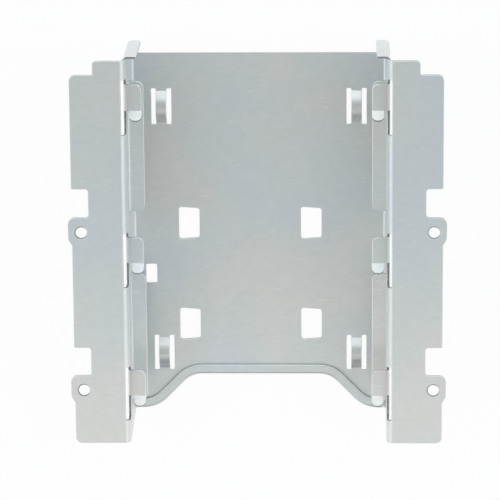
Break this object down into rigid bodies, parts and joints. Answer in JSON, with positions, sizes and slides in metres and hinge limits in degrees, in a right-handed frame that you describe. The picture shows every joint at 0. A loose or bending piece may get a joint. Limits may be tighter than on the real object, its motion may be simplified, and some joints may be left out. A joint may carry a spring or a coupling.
{
  "type": "drive bay adapter bracket",
  "caption": "Folded sheet steel channel that holds stacked small drives and bolts by its side flanges into a larger drive bay.",
  "frame": {"origin": "middle of the web's back, which is the bottom centre of the bounding box", "axes": "+X across the bay, +Y along it towards the end with the stops, +Z from the web towards the flanges"},
  "size_m": [0.1024, 0.1074, 0.026],
  "materials": {
    "zinc_plated_steel": "zinc plated sheet, satin, with a faint rolling grain"
  },
  "bodies": {
    "root": {"bracket": "zinc_plated_steel"}
  },
  "joints": []
}
